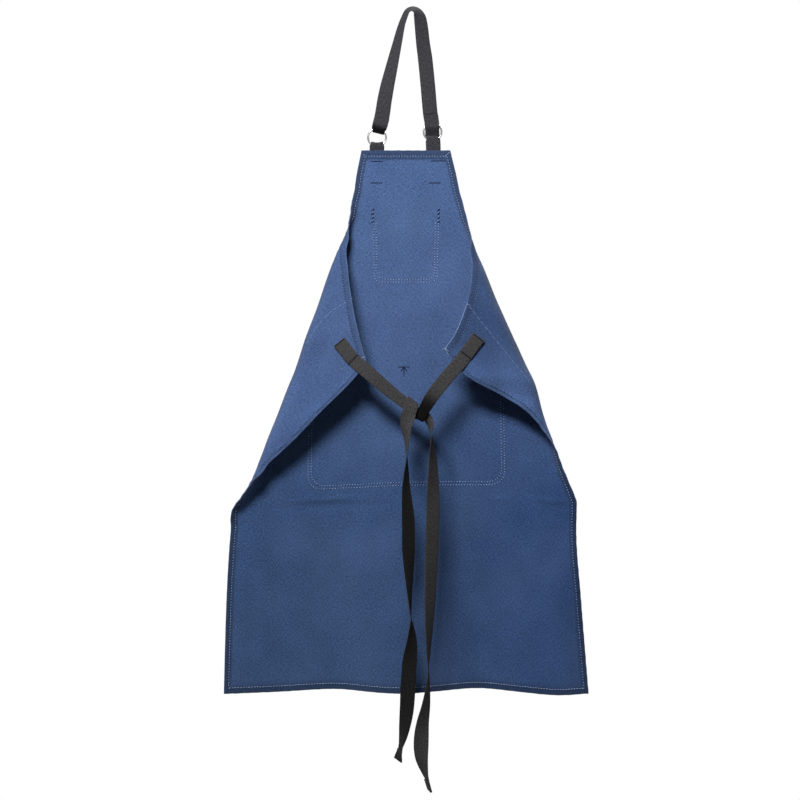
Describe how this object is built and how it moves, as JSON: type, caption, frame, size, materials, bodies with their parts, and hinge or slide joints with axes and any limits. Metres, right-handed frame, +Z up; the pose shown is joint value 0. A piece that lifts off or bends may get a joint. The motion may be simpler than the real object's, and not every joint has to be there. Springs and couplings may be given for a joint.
{
  "type": "bib apron",
  "caption": "Canvas bib apron hanging by a webbing neck strap on metal rings, its sides folded forward and held by a half-knotted pair of long waist ties",
  "frame": {"origin": "the point where the neck strap hangs, under the top of its loop", "axes": "+Z up; -Y towards the side that shows the inside of the apron; +X to the right as seen from that side"},
  "size_m": [0.6169, 0.0984, 1.325],
  "materials": {
    "canvas": "matt blue cotton canvas, plain weave, sewn hems",
    "webbing": "charcoal cotton webbing, ribbed across",
    "nickel": "bright nickel plate on steel wire"
  },
  "bodies": {
    "root": {"apron_body": "canvas", "chest_pocket": "canvas", "front_pocket": "canvas", "neck_strap": "webbing", "ring_left": "nickel", "ring_right": "nickel", "ring_tab_left": "webbing", "ring_tab_right": "webbing", "waist_tie_left": "webbing", "waist_tie_right": "webbing"}
  },
  "joints": []
}
